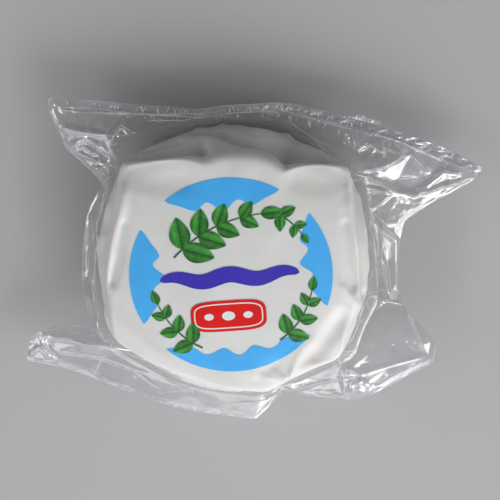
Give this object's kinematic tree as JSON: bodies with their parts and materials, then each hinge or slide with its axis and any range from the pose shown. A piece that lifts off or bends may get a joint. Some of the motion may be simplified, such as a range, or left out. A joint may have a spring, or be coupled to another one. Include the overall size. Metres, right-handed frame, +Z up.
{
  "type": "vacuum-packed mozzarella wheel",
  "caption": "Soft white cheese wheel shrunk into a clear vacuum bag, with creased welded flaps round its waist and a round printed face, lying flat.",
  "frame": {"origin": "middle of the pack's footprint, flaps included, on the surface that it lies on", "axes": "+Z up out of the printed face, +Y towards the bag's top seam, +X towards the longer upper ear"},
  "size_m": [0.1808, 0.1352, 0.037],
  "materials": {
    "mozzarella": "smooth moist white cheese under tight film",
    "clear_film": "clear glossy vacuum film, creased",
    "blue_ink": "sky-blue ink under glossy film",
    "green_ink": "leaf-green ink under glossy film",
    "violet_ink": "violet ink under glossy film",
    "red_ink": "red ink under glossy film",
    "white_ink": "white ink under glossy film"
  },
  "bodies": {
    "root": {"vacuum_pack": "mozzarella"}
  },
  "joints": []
}
